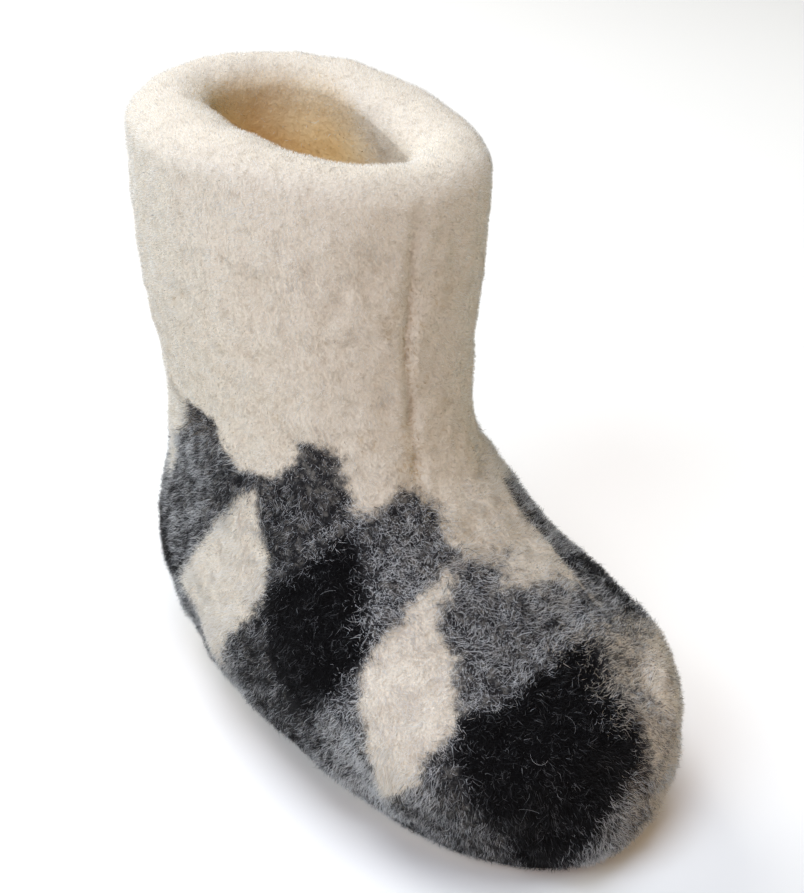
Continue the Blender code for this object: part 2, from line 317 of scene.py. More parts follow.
def lumps(point, walk):
    # broad waves, tufts, a wavy hem over the sole and a ragged crest on the collar, added up
    broad = uneven["onFoot"] - uneven["lessOnShaft"] * smoothStep(walk, *uneven["shaft"])
    tuft = 1.0 - uneven["lessOnCollar"] * smoothStep(walk, *uneven["collar"])
    hem = window(walk, uneven["hemStart"], uneven["hemEnd"])
    crest = window(walk, uneven["crestStart"], uneven["crestEnd"])
    shares = dict(broad=broad, tuft=tuft, hem=hem, crest=crest)
    return sum(share * layers(point, uneven[name]) for name, share in shares.items())


def skinHeight(point, walk):
    # how far the wool stands above the plain wall: lumps less creases and seam, flat at the sole and inside its edge
    wool = lumps(point, walk) * window(walk, uneven["start"], uneven["end"])
    return wool - np.where(walk < collarWalk, creaseDepth(point), 0.0) - seamDepth(walk, point)[0]


def skinNormal(point, walk, normal, upward, side):
    # the wall's normal less the slopes of that height, up and sideways
    step = uneven["slopeStep"]
    slopeUp, slopeSide = ((skinHeight(point + step * along, walk) - skinHeight(point - step * along, walk))[..., None]
                          / (2.0 * step) for along in (upward, side))
    return unit(normal - upward * slopeUp - side * slopeSide)


def hexColour(text):
    # sRGB hex to linear
    value = np.array([int(text[i:i + 2], 16) for i in (1, 3, 5)]) / 255.0
    linear = np.where(value <= 0.04045, value / 12.92, ((value + 0.055) / 1.055)**2.4)
    return (*linear, 1.0)


def feed(tree, node, inputs):
    # a socket gets its value, or a link from the output that feeds it
    for name, value in inputs.items():
        if isinstance(value, bpy.types.NodeSocket):
            tree.links.new(value, node.inputs[name])
        else:
            node.inputs[name].default_value = value


def addNode(tree, kind, inputs=None, **settings):
    # one shader node: settings are its properties, inputs its sockets' values or the outputs that feed them
    made = tree.nodes.new("ShaderNode" + kind)
    for name, value in settings.items():
        setattr(made, name, value)
    feed(tree, made, inputs or {})
    return made


def perMetre(size):
    # scale of a noise whose pattern has this size in mm
    return 1.0 / (size * mm)


def newMaterial(name):
    # a material, its node tree and its main shader
    material = bpy.data.materials.new(name)
    material.use_nodes = True
    return material, material.node_tree, material.node_tree.nodes["Principled BSDF"]


def fillRamp(ramp, stops):
    # stops are (place, hex colour)
    elements = ramp.color_ramp.elements
    while len(elements) < len(stops):
        elements.new(0.5)
    for element, (place, colour) in zip(elements, stops):
        element.position = place
        element.color = hexColour(colour)


def addObject(name, data, axes=None, place=None):
    # object in the scene; axes are its right, up and back, place is in metres
    made = bpy.data.objects.new(name, data)
    bpy.context.scene.collection.objects.link(made)
    if axes is not None:
        matrix = np.eye(4)
        matrix[:3] = np.stack((*axes, place), -1)
        made.matrix_world = Matrix(matrix.tolist())
    return made


def addPiece(name, points, triangles, material, uv=None, attributes=None, normals=None):
    # mesh object at the origin from arrays in millimetres; uv is one pair for each corner of each face, normals one
    # vector for each point
    mesh = bpy.data.meshes.new(name)
    mesh.vertices.add(len(points))
    mesh.vertices.foreach_set("co", (points * mm).astype(np.float32).ravel())
    corners = triangles.astype(np.int32)
    mesh.loops.add(corners.size)
    mesh.loops.foreach_set("vertex_index", corners.ravel())
    mesh.polygons.add(len(corners))
    mesh.polygons.foreach_set("loop_start", np.arange(0, corners.size, corners.shape[1], dtype=np.int32))
    mesh.update(calc_edges=True)
    if uv is not None:
        layer = mesh.uv_layers.new(name="OFBake", do_init=False)
        layer.uv.foreach_set("vector", uv.astype(np.float32).ravel())
    for key, values in (attributes or {}).items():
        mesh.attributes.new(key, "FLOAT", "POINT").data.foreach_set("value", values.astype(np.float32))
    mesh.shade_smooth()
    if normals is not None:
        layer = mesh.attributes.new("custom_normal", "FLOAT_VECTOR", "POINT")
        layer.data.foreach_set("vector", normals.astype(np.float32).ravel())
    mesh.materials.append(material)
    piece = addObject(name, mesh)
    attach(piece, "root")
    print(name, len(corners) * (corners.shape[1] - 2), "triangles")
    return piece


# Tones of single wool hairs, laid side by side on one scale that the hairs' own map reads
tones = dict(
    black=0.04, charcoal=0.13, slate=0.23, silver=0.34, white=0.45, brown=0.54,
    honey=0.61, tan=0.67, beige=0.76, cream=0.86, ivory=0.96,
)
toneEnds = (0.02, 0.98)
toneColours = dict(
    black="#1a191a", charcoal="#303033", slate="#7f8082", silver="#c9cacd", white="#eeeff0",
    brown="#7d7166", honey="#f3d598", tan="#cfb78d", beige="#ebe2d5", cream="#f5f1ea", ivory="#fbf9f6",
)


def hairMaterial():
    # wool hair: matte, slightly silky and lit through from behind; one tone for each hair, with painted shade
    # making it deeper towards its root, where the pile shades it
    material, tree, shader = newMaterial("sheared_wool_hair")
    place = addNode(tree, "UVMap", uv_map="OFBake")
    split = addNode(tree, "SeparateXYZ", {"Vector": place.outputs["UV"]})
    ramp = addNode(tree, "ValToRGB", {"Fac": split.outputs["X"]})
    fillRamp(ramp, [(tones[name], toneColours[name]) for name in tones])
    # painted shade: the tone falls to 0.85 at the root, for the shade deep in the pile
    depth = addNode(tree, "MapRange", {
        "Value": split.outputs["Y"], "From Min": 0.0, "From Max": 0.7, "To Min": 0.85, "To Max": 1.0})
    deeper = {0: ramp.outputs["Color"], 1: depth.outputs["Result"]}
    shade = addNode(tree, "VectorMath", deeper, operation="MULTIPLY").outputs["Vector"]
    feed(tree, shader, {"Base Color": shade, "Roughness": 0.85, "Specular IOR Level": 0.2,
                        "Sheen Weight": 0.12, "Sheen Roughness": 0.5})
    through = addNode(tree, "BsdfTranslucent", {"Color": shade})
    both = addNode(tree, "MixShader", {"Fac": 0.5, 1: shader.outputs["BSDF"], 2: through.outputs["BSDF"]})
    feed(tree, tree.nodes["Material Output"], {"Surface": both.outputs["Shader"]})
    return material


def fleeceMaterial():
    # Its grain is a small tuft's 2.4 mm, because single fibres are too fine to show
    material, tree, shader = newMaterial("wool_fleece_ground")
    place = addNode(tree, "TexCoord").outputs["Object"]
    shade = addNode(tree, "Attribute", attribute_name="shade")
    inside = addNode(tree, "Attribute", attribute_name="inside")
    grain = addNode(tree, "TexNoise", {"Vector": place, "Scale": perMetre(2.38), "Detail": 3.0, "Roughness": 0.65})
    cloud = addNode(tree, "TexNoise", {"Vector": place, "Scale": perMetre(14.3), "Detail": 2.0})
    mottle = addNode(tree, "MapRange", {
        "Value": grain.outputs["Fac"], "From Min": 0.3, "From Max": 0.7, "To Min": -0.16, "To Max": 0.16})
    level = addNode(tree, "Math", {0: shade.outputs["Fac"], 1: mottle.outputs["Result"]}, operation="ADD")
    ramp = addNode(tree, "ValToRGB", {"Fac": level.outputs["Value"]})
    # the ground's tones are the wool's own, painted a little darker than its hairs as painted shade deep in the pile
    fillRamp(ramp, [(0.0, "#ded4c4"), (0.16, "#cabfae"), (0.36, "#716e69"),
                    (0.52, "#302f30"), (0.75, "#121112"), (1.0, "#090809")])
    # the inside's tan: partly the lining's own colour, partly painted warm shade
    warm = addNode(tree, "ValToRGB", {"Fac": cloud.outputs["Fac"]})
    fillRamp(warm, [(0.3, "#eac684"), (0.7, "#f5deaa")])
    blend = {"Factor": inside.outputs["Fac"], "A": ramp.outputs["Color"], "B": warm.outputs["Color"]}
    mixed = addNode(tree, "Mix", blend, data_type="RGBA")
    bump = addNode(tree, "Bump", {"Strength": 0.6, "Distance": 0.8 * mm, "Height": grain.outputs["Fac"]})
    feed(tree, shader, {"Base Color": mixed.outputs["Result"], "Normal": bump.outputs["Normal"],
                        "Roughness": 0.95, "Specular IOR Level": 0.1})
    return material


def feltMaterial():
    # pressed wool felt: matted grey fibres with paler and darker flecks. The fibres are drawn 1.1 mm coarse,
    # because real ones are too fine to show
    material, tree, shader = newMaterial("pressed_wool_felt")
    place = addNode(tree, "TexCoord").outputs["Object"]
    fibre = addNode(tree, "TexNoise", {
        "Vector": place, "Scale": perMetre(1.11), "Detail": 3.0, "Roughness": 0.7, "Distortion": 1.5})
    cloud = addNode(tree, "TexNoise", {"Vector": place, "Scale": perMetre(18.2), "Detail": 3.0})
    blend = {"Factor": 0.35, "A": fibre.outputs["Fac"], "B": cloud.outputs["Fac"]}
    mixed = addNode(tree, "Mix", blend, data_type="FLOAT")
    ramp = addNode(tree, "ValToRGB", {"Fac": mixed.outputs["Result"]})
    fillRamp(ramp, [(0.32, "#3b3a39"), (0.5, "#6d6b68"), (0.68, "#97938d")])
    bump = addNode(tree, "Bump", {"Strength": 0.7, "Distance": 0.5 * mm, "Height": fibre.outputs["Fac"]})
    feed(tree, shader, {"Base Color": ramp.outputs["Color"], "Normal": bump.outputs["Normal"],
                        "Roughness": 0.95, "Specular IOR Level": 0.1})
    return material


hairWool = hairMaterial()
fleece = fleeceMaterial()
felt = feltMaterial()

# the inner side of the toe, where the dark wool is mixed with brown and beige: where that starts and is full, in mm and
# places. Its patches are noises in rows of height, size and seed; the rest are shares and thresholds of them
mottled = dict(
    x=(58.0, 72.0), y=(-2.0, 10.0), side=(9.5, 17.0), sideShare=0.8, place=(2.6, 3.2), ground=0.42, fray=2.6,
    patches=((1.0, 5.0, 51), (0.7, 2.4, 52)), hair=0.25, beige=0.12, pale=0.46, dark=-0.25, shift=0.05,
    speck=0.18, speckPatch=-0.6, speckMore=0.5,
)


def toeMix(point):
    # share of mixed wool: grown along the foot and across it to the inner side of the toe
    return smoothStep(point[..., 0], *mottled["x"]) * smoothStep(point[..., 1], *mottled["y"])


# Skin: the wall under the pile, as one closed loft, outside, collar, inside and lower edge.
skin = dict(
    columns=240, outerRows=128, rimRows=22, innerRows=52, depth=1.8, insideDepth=1.4,
    grown=(0.0, 1.3), thinned=(8.9, 9.6), lost=(14.0, 15.0), draws=7, blur=0.8, placeBlur=0.03, lowShade=0.1,
)
lower = dict(
    soleInset=2.5, lap=3.5, sole=5.0, skirt=2.2, gap=0.3, insole=6.0, crown=1.5,
    spring=3.0, springStart=0.80, arch=1.5, archRange=(0.40, 0.60),
)
# the shaft's inner front, and the walk over which the wool turns tan, partly the lining's own tan and partly painted
# warm shade, so it starts later there, where light falls
shaftFront = dict(behind=42.0, plan=(0.67, 0.74), reach=(0.0, 30.0), tan=(8.6, 9.6), later=0.8)


def innerFront(point):
    # from 0 on the outer and back side of the shaft to 1 on its inner front
    along, across = shaftFront["plan"]
    return smoothStep(along * (point[..., 0] + shaftFront["behind"]) + across * point[..., 1], *shaftFront["reach"])


def tanAndShadeShare(point, walk):
    # how far the wool has turned tan on its way down the inside: partly its own colour, partly painted warm shade that
    # starts lower on the inner front, where light falls
    return smoothStep(walk - shaftFront["later"] * innerFront(point), *shaftFront["tan"])


def pileDepth(walk):
    # how far the skin lies under the pile's face: nothing at the sole, full on the outside, less on the inside
    outside = skin["depth"] * smoothStep(walk, *skin["grown"])
    inside = (skin["insideDepth"] - skin["depth"]) * smoothStep(walk, *skin["thinned"])
    return outside + inside - skin["insideDepth"] * smoothStep(walk, *skin["lost"])


def insetRing(ring, distance):
    # level ring moved inwards along its own level normals
    around = np.roll(ring, -1, axis=0) - np.roll(ring, 1, axis=0)
    normal = unit(np.stack((around[:, 1], -around[:, 0], np.zeros(len(ring))), -1))
    return ring - normal * distance


def undersideRing(ring, lift):
    # ring laid at the height of the sole's underside, which rises at the arch and the toe
    share = (ring[:, 0] + form["middle"][0]) / form["length"]
    spring = lower["spring"] * np.clip((share - lower["springStart"]) / (1.0 - lower["springStart"]), 0.0, None)**2
    low, high = lower["archRange"]
    arch = lower["arch"] * np.sin(math.pi * np.clip((share - low) / (high - low), 0.0, 1.0))**2
    return np.stack((ring[:, 0], ring[:, 1], spring + arch + lift), -1)


def gridFaces(rows, columns):
    # quads of a grid that closes round and along itself, and each corner's place on the unrolled grid
    row, column = (part.ravel() for part in np.meshgrid(np.arange(rows), np.arange(columns), indexing="ij"))
    rowSteps = np.stack((row, row, row + 1, row + 1), -1)
    columnSteps = np.stack((column, column + 1, column + 1, column), -1)
    faces = (rowSteps % rows) * columns + columnSteps % columns
    return faces, np.stack((columnSteps / columns, rowSteps / rows), -1).reshape(-1, 2)


def lowerRings(columns):
    # edge of the sole, inner edge of the lap, and the footbed's side between the lap and the lowest inner ring
    angle = np.linspace(-math.pi, math.pi, columns, endpoint=False)
    tuck = outerPoint(np.zeros(columns), angle)
    inner = wallPoint(np.full(columns, lowestWalk), angle)
    edge, lap = insetRing(tuck, lower["soleInset"]), insetRing(tuck, lower["soleInset"] + lower["lap"])
    side = undersideRing(lap, lower["sole"] + lower["gap"] + lower["insole"] - lower["crown"])
    share = (side[:, 2:] - lower["sole"]) / (inner[:, 2:] - lower["sole"])
    side[:, :2] += share * (inner[:, :2] - lap[:, :2])
    return edge, lap, side


def makeSkin():
    # rows of the loft: the wall less the pile's depth and plus its unevenness, then footbed's side, lap and sole's edge
    walk = np.concatenate((
        np.linspace(0.0, collarWalk, skin["outerRows"], endpoint=False),
        np.linspace(collarWalk, liningWalk, skin["rimRows"], endpoint=False),
        np.linspace(liningWalk, lowestWalk, skin["innerRows"]),
    ))
    angle = np.linspace(-math.pi, math.pi, skin["columns"], endpoint=False)
    walk, angle = np.meshgrid(walk, angle, indexing="ij")
    point, normal = wallFrame(walk, angle)[:2]
    proud = skinHeight(point, walk) - pileDepth(walk)
    edge, lap, footbed = lowerRings(skin["columns"])
    skirt = insetRing(edge, -lower["gap"])
    topOfSole = lower["sole"] + lower["gap"]
    below = [footbed, undersideRing(lap, topOfSole)]
    below += [undersideRing(skirt, height) for height in (topOfSole, lower["skirt"])]
    rows = list(point + normal * proud[..., None]) + below
    faces, uv = gridFaces(len(rows), skin["columns"])
    shade = np.zeros(walk.shape)
    for offset in draw.normal(0.0, 1.0, (skin["draws"], 3)):   # the check, blurred over a few moved looks
        place = np.clip(walk + skin["placeBlur"] * offset[2], 0.0, collarWalk)
        shade += checkShade(point + skin["blur"] * offset, place)[0] / skin["draws"]
    shade = shade * (1.0 - mottled["ground"] * toeMix(point) * smoothStep(point[..., 1], *mottled["side"]))
    shade = np.where(walk > collarWalk, 0.0, shade)
    extra = len(below) * skin["columns"]
    attributes = dict(shade=np.append(shade, np.full(extra, skin["lowShade"])),
                      inside=np.append(tanAndShadeShare(point, walk), np.ones(extra)))
    piece = addPiece("upper_skin", np.concatenate(rows), faces, fleece, uv, attributes)
    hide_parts("upper")


makeSkin()

# Sole and footbed: lofts of level rings, closed in the middle. Sizes in mm; pits and waves are rows of height, size and
# seed, and middle and covered are rings' shares of the outline
soles = dict(
    columns=160, covered=(0.3, 0.6, 0.85), shade=0.05,
    soleEdge=1.2, tread=0.22, pits=((1.0, 2.6, 61), (0.6, 9.0, 62)), treadRows=24, treadMiddle=0.08,
    padEdge=3.0, padLumps=0.5, waves=((1.0, 11.0, 63), (0.6, 4.0, 64)), padRows=30, padMiddle=0.05, padRim=(0.0, 0.1),
    heelCup=1.0, heelSpan=0.15,
)


def cappedFaces(rows, columns):
    # triangles of an open loft of rings, its first and last ring closed by a fan round one middle point each
    row, column = (part.ravel() for part in np.meshgrid(np.arange(rows - 1), np.arange(columns), indexing="ij"))
    near, far = row * columns + column, row * columns + (column + 1) % columns
    sides = [np.stack((near, far, far + columns), -1), np.stack((near, far + columns, near + columns), -1)]
    ring, after = np.arange(columns), (np.arange(columns) + 1) % columns
    last = (rows - 1) * columns
    bottom = np.stack((after, ring, np.full(columns, rows * columns)), -1)
    top = np.stack((last + ring, last + after, np.full(columns, rows * columns + 1)), -1)
    return np.concatenate((*sides, bottom, top))


def shrunk(ring, share):
    # ring drawn in to a share of its size, round its middle
    return ring.mean(axis=0) + (ring - ring.mean(axis=0)) * share


def addLoft(name, rows, material, node):
    # closed loft of the rings, bottom first, which stands for the CAD node
    points = np.concatenate(rows + [rows[0].mean(axis=0)[None], rows[-1].mean(axis=0)[None]])
    attributes = dict(shade=np.full(len(points), soles["shade"]), inside=np.ones(len(points)))
    piece = addPiece(name, points, cappedFaces(len(rows), len(rows[0])), material, attributes=attributes)
    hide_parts(node)
    return piece


def makeSole():
    # felt sheet with a rounded lower edge; its tread is pitted by needling and wear
    edge = lowerRings(soles["columns"])[0]
    foot = insetRing(edge, soles["soleEdge"])
    shares = np.linspace(soles["treadMiddle"], 1.0, soles["treadRows"])
    rows = [undersideRing(shrunk(foot, share), 0.0) for share in shares]
    for row in rows:
        row[:, 2] += soles["tread"] * np.abs(layers(row, soles["pits"]))
    rows += [undersideRing(edge, soles["soleEdge"]), undersideRing(edge, lower["sole"])]
    rows += [undersideRing(shrunk(edge, share), lower["sole"]) for share in soles["covered"][::-1]]
    addLoft("sole_felt", rows, felt, "sole")


def makeFootbed():
    # loose wool pad: rounded upper edge, a dip under the heel and a soft uneven top
    edge, lap, side = lowerRings(soles["columns"])
    base = lower["sole"] + 2.0 * lower["gap"]
    top = base + lower["insole"]
    foot = undersideRing(insetRing(lap, lower["gap"]), base)
    side = insetRing(side, lower["gap"])
    brow = undersideRing(insetRing(side, soles["padEdge"]), top)
    rows = [undersideRing(shrunk(foot, share), base) for share in soles["covered"]] + [foot, side]
    heel = 0.5 * lower["archRange"][0]
    for share in np.linspace(1.0, soles["padMiddle"], soles["padRows"]):
        ring = undersideRing(shrunk(brow, share), top)
        along = (ring[:, 0] + form["middle"][0]) / form["length"]
        cup = soles["heelCup"] * (1.0 - share) * np.exp(-((along - heel) / soles["heelSpan"])**2)
        rough = layers(ring, soles["waves"]) - 1.0
        ring[:, 2] += soles["padLumps"] * rough * smoothStep(1.0 - share, *soles["padRim"]) - cup
        rows.append(ring)
    addLoft("footbed_pad", rows, fleece, "insole")


makeSole()
makeFootbed()

# Lightness of the grey wool from black 0 to white 1, by column: the upper squares, and all below the middle row. Clumps
# and clouds are noises in rows of height, size and seed
heather = dict(
    columns=(-2.5, -1.5, -0.5, 0.5, 1.5, 2.5, 3.5), upper=(0.57, 0.56, 0.30, 0.92, 0.96, 0.88, 0.70),
    lowerColumns=(-2.0, -1.5, -1.0, -0.5, 0.0, 0.5, 0.9, 1.0, 1.1, 1.5, 2.0, 2.5, 3.0),
    lower=(0.46, 0.64, 0.78, 0.08, 0.18, 1.12, 1.08, 1.10, 0.72, 0.40, 0.36, 1.00, 0.85),
    clumps=((1.0, 1.7, 23), (0.5, 0.9, 24)), clouds=((1.0, 4.4, 21), (0.6, 13.0, 22)),
    clump=0.54, cloud=0.28, hair=0.32, edge=0.85,
)
blackTone = dict(middle=0.07, clump=0.20, hair=0.16, highest=0.48)   # on the same scale
# cream tones on the same scale; collar and collarStart are painted light: the collar's hairs paler where light from
# above falls
creamTone = dict(
    middle=0.862, clump=0.105, cloud=0.085, hair=0.015, lowest=0.69, highest=0.965,
    foot=0.035, footEnd=(5.0, 5.8), calmFoot=0.40, collar=0.10, collarStart=(7.0, 8.2),
    calmCollar=0.65, calmStart=(7.4, 8.1),
    streak=0.05, streakStart=(5.4, 6.2), streakSize=2.6, stretch=(1.0, 1.0, 0.25),
)
# how far a hair looks beside its root for its square, and for the square beside it, in mm and in places
borders = dict(fray=1.8, place=0.04, beside=2.6, besidePlace=0.06)
# shares of pale hairs in the black, of brown ones in the cream and on the grey tips, and of grey ones along the cream's
# borders, and how far the tones of these and of the honey inside vary
strays = dict(black=0.012, cream=0.0012, tip=0.45, tipClimb=(0.35, 0.75), border=0.4,
              dull=0.05, brown=0.01, honey=(-0.01, 0.04))
# Pile: hairs as narrow ribbons. height and width in mm, perArea in hairs a square mm, the other values are shares of
# the height; the glosses are how much each ribbon's own turn shows in its shading, in the cream and in the dark wool,
# and fluff how much the lean of its tuft does
pileColumns = ("height", "spread", "comb", "tuft", "stray", "curl", "turns", "width", "perArea",
               "creamGloss", "darkGloss", "fluff")
pile = dict(
    foot=(2.0, 0.18, 0.30, 0.75, 0.38, 0.75, 0.9, 0.158, 3.5, 0.12, 0.50, 0.35),
    shaft=(1.3, 0.12, 0.10, 0.60, 0.40, 0.28, 0.6, 0.150, 3.0, 0.12, 0.45, 0.35),
    collar=(1.2, 0.12, 0.06, 0.32, 0.34, 0.28, 0.6, 0.120, 3.2, 0.08, 0.45, 0.10),
    lining=(1.6, 0.20, 0.10, 0.70, 0.40, 0.40, 0.7, 0.200, 0.5, 0.12, 0.45, 0.35),
)
# how far the hairs' shading turns up where the shaft bends into the collar, most at the inner front
brow = dict(turn=0.85, outer=0.5, start=(7.4, 8.2), end=(8.5, 9.0))
# the cream wool is shorter and lies flatter, as shares of the values above, but for a few upright hairs
creamHair = dict(height=0.95, shortBelow=5.6, rise=0.95, lean=1.1, width=1.1, curl=0.9, roll=0.6, upright=0.05)
# what all hairs share: roots sunk and tips kept above the floor in mm, hairs short at the hem and wilder in the dark
# wool, the ranges that are drawn from, and the sizes in mm of the flow that tufts follow
hairs = dict(
    steps=3, sunk=0.4, floor=0.35, hem=0.45, hemEnd=(0.0, 1.0), wilder=1.2, bow=0.3, leanPower=1.3, taper=0.35,
    roll=0.45, turns=(0.6, 1.4), curls=(0.3, 1.0), widths=(0.7, 1.2), flow=4.2, tuft=1.8, tuftShare=0.6,
    toneSplit=0.004, scatterRows=161, scatterColumns=241,
)
patches = (   # name, look, places along the wall, angles in degrees
    ("foot_pile_toe_outer", "foot", (0.15, 5.6), (-75.0, 0.0)),
    ("foot_pile_toe_inner", "foot", (0.15, 5.6), (0.0, 75.0)),
    ("foot_pile_heel_outer", "foot", (0.15, 5.6), (-180.0, -75.0)),
    ("foot_pile_heel_inner", "foot", (0.15, 5.6), (75.0, 180.0)),
    ("shaft_pile_outer", "shaft", (5.6, 8.0), (-180.0, 0.0)),
    ("shaft_pile_inner", "shaft", (5.6, 8.0), (0.0, 180.0)),
    ("collar_pile", "collar", (8.0, 9.15), (-180.0, 180.0)),
    ("lining_pile", "lining", (9.15, 13.6), (-180.0, 180.0)),
)


def scatter(walkRange, angleRange, perArea):
    # even scatter over the wall: cells of a fine grid drawn by their area, with one draw in each equal share
    walk = np.linspace(*walkRange, hairs["scatterRows"])
    angle = np.radians(np.linspace(*angleRange, hairs["scatterColumns"]))
    grid = wallPoint(*np.meshgrid(walk, angle, indexing="ij"))
    across = grid[:-1, 1:] - grid[:-1, :-1]
    along = grid[1:, :-1] - grid[:-1, :-1]
    area = np.linalg.norm(np.cross(across, along), axis=-1).ravel()
    count = int(area.sum() * perArea)
    drawn = (np.arange(count) + draw.random(count)) / count * area.sum()
    cell = np.minimum(np.searchsorted(np.cumsum(area), drawn), area.size - 1)
    row, column = cell // (len(angle) - 1), cell % (len(angle) - 1)
    walk = walk[row] + (walk[1] - walk[0]) * draw.random(count)
    return walk, angle[column] + (angle[1] - angle[0]) * draw.random(count)


def hairShade(point, walk):
    # the check at each hair, looked up a little beside its root, so that borders fray, and again further off: between
    # grey and black the second look counts
    count = len(walk)
    place = np.clip(walk, 0.0, collarWalk)
    fray = (borders["fray"] + mottled["fray"] * toeMix(point))[:, None]
    shade, column, level, climb = checkShade(
        point + fray * draw.normal(0.0, 1.0, point.shape), place + draw.normal(0.0, borders["place"], count))
    beside = checkShade(point + draw.normal(0.0, borders["beside"], point.shape),
                        place + draw.normal(0.0, borders["besidePlace"], count))[0]
    shade = np.where((shade > creamShade) & (beside > creamShade), beside, shade)
    return np.where(walk > collarWalk, 0.0, shade), beside, column, level, climb


def greyWool(column, level, beside, clump, cloud, chance):
    # lightness of grey hairs: their square's, or a pale one next to the cream, clumped like heather
    light = np.where(level >= 1.0, np.interp(column, heather["columns"], heather["upper"]),
                     np.interp(column, heather["lowerColumns"], heather["lower"]))
    light = np.where(beside < creamShade, heather["edge"], light)
    return light + heather["clump"] * clump + heather["cloud"] * cloud + heather["hair"] * chance


def creamWool(point, walk, clump, cloud, chance):
    # tone of cream hairs: clumped and streaked, calmer and paler on collar and foot, the collar's paleness painted
    # light from above; painted shade dims the wool beside the seam, and it is tan in the seam
    onFoot = 1.0 - smoothStep(walk, *creamTone["footEnd"])
    calm = 1.0 - creamTone["calmCollar"] * smoothStep(walk, *creamTone["calmStart"]) - creamTone["calmFoot"] * onFoot
    cream = creamTone["middle"] + calm * (creamTone["clump"] * clump + creamTone["cloud"] * cloud)
    cream = np.clip(cream + creamTone["hair"] * chance, creamTone["lowest"], creamTone["highest"])
    beyond = seamDepth(np.clip(walk, 0.0, collarWalk), point)[1]
    # painted shade: darker cream in a broad bell beside the seam, for the shade of its soft valley
    cream = cream - seam["paintedShade"] * np.exp(-(beyond / seam["shadeReach"])**2)
    cream = cream + (tones["tan"] - seam["deeper"] - cream) * seam["tan"] * np.exp(-(beyond / seam["tint"])**2)
    # painted light: the collar's hairs paler, where light from above falls on them
    cream = cream + creamTone["collar"] * smoothStep(walk, *creamTone["collarStart"]) + creamTone["foot"] * onFoot
    streak = softNoise(point * creamTone["stretch"], creamTone["streakSize"], 25)
    return cream + creamTone["streak"] * calm * streak * smoothStep(walk, *creamTone["streakStart"])


def hairTone(point, walk):
    # tone of each hair on the scale above, by its square's wool; drawn by chance are brown tips, the mottled toe, stray
    # hairs, pale ones along the cream's borders and the honey of the inside, which is partly painted warm shade
    count = len(walk)
    shade, beside, column, level, climb = hairShade(point, walk)
    clump, cloud = layers(point, heather["clumps"]), layers(point, heather["clouds"])
    chance = draw.normal(0.0, 1.0, count)
    scale = tones["white"] - tones["black"]
    brown = tones["brown"] + strays["brown"] * chance
    grey = tones["black"] + scale * np.clip(greyWool(column, level, beside, clump, cloud, chance), 0.0, 1.0)
    grey = np.where(draw.random(count) < strays["tip"] * smoothStep(climb, *strays["tipClimb"]), brown, grey)
    patch = layers(point, mottled["patches"]) + mottled["hair"] * chance
    mixed = draw.random(count) < toeMix(point)
    onSide = mottled["sideShare"] * smoothStep(point[:, 1], *mottled["side"])
    paler = mottled["pale"] * np.maximum(smoothStep(walk, *mottled["place"]), onSide)
    beige = draw.uniform(tones["tan"] + mottled["shift"], tones["beige"] + mottled["shift"], count)
    wild = np.select((patch > mottled["beige"] - paler, patch < mottled["dark"]), (beige, grey), brown)
    grey = np.where(mixed, wild, grey)
    dark = blackTone["middle"] + blackTone["clump"] * clump + blackTone["hair"] * chance
    black = tones["black"] + scale * np.clip(dark, 0.0, blackTone["highest"])
    stray = draw.random(count) < strays["black"]
    black = np.where(stray, draw.uniform(tones["charcoal"], tones["silver"], count), black)
    cream = creamWool(point, walk, clump, cloud, chance)
    specks = mottled["speck"] + mottled["speckMore"] * (patch < mottled["speckPatch"])
    cream = np.where(draw.random(count) < np.where(mixed, specks, strays["cream"]), tones["brown"], cream)
    border = (beside > creamShade) & (walk < collarWalk) & (draw.random(count) < strays["border"])
    cream = np.where(border, tones["white"] - strays["dull"] * np.abs(chance), cream)
    tone = np.select((shade < creamShade, shade < blackShade), (cream, grey), black)
    inside = draw.random(count) < tanAndShadeShare(point, walk)
    tone = np.where(inside, tones["honey"] + draw.uniform(*strays["honey"], count), tone)
    return np.clip(tone, *toneEnds), shade


def hairPaths(look, walk, cream, root, axes, flow, share):
    # each hair is a curve from its root: it rises, leans with its tuft and the comb, and curls on its way
    count = len(walk)
    normal, upward, side = axes
    flatCream = cream & (draw.random(count) > creamHair["upright"])
    wild = np.where(cream, 1.0, hairs["wilder"])
    height = look["height"] * np.exp(draw.normal(0.0, look["spread"], count))
    height = height * (hairs["hem"] + (1.0 - hairs["hem"]) * smoothStep(walk, *hairs["hemEnd"]))
    height = height * np.where(cream & (walk < creamHair["shortBelow"]), creamHair["height"], 1.0)
    leanUp = look["tuft"] * flow[0] + look["stray"] * draw.normal(0.0, 1.0, count) * wild - look["comb"]
    leanSide = look["tuft"] * flow[1] + look["stray"] * draw.normal(0.0, 1.0, count) * wild
    reach = height * np.where(flatCream, creamHair["lean"], 1.0)
    lean = (upward * leanUp[:, None] + side * leanSide[:, None]) * reach[:, None]
    phase = draw.uniform(0.0, 2.0 * math.pi, count)
    turns = 2.0 * math.pi * look["turns"] * draw.uniform(*hairs["turns"], count)
    turns = turns * np.where(draw.random(count) < 0.5, -1.0, 1.0)
    curl = look["curl"] * wild * draw.uniform(*hairs["curls"], count) * np.where(cream, creamHair["curl"], 1.0)
    rise = (height * np.where(flatCream, creamHair["rise"], 1.0))[:, None]
    rise = rise * ((1.0 + hairs["bow"]) * share - hairs["bow"] * share**2)
    swirl = phase[:, None] + turns[:, None] * share
    swirlUp, swirlSide = curl[:, None] * share * np.sin(swirl), curl[:, None] * share * np.cos(swirl)
    path = (root[:, None] + normal[:, None] * rise[..., None] + lean[:, None] * (share**hairs["leanPower"])[..., None]
            + upward[:, None] * swirlUp[..., None] + side[:, None] * swirlSide[..., None])
    path[..., 2] = np.maximum(path[..., 2], hairs["floor"])
    return path


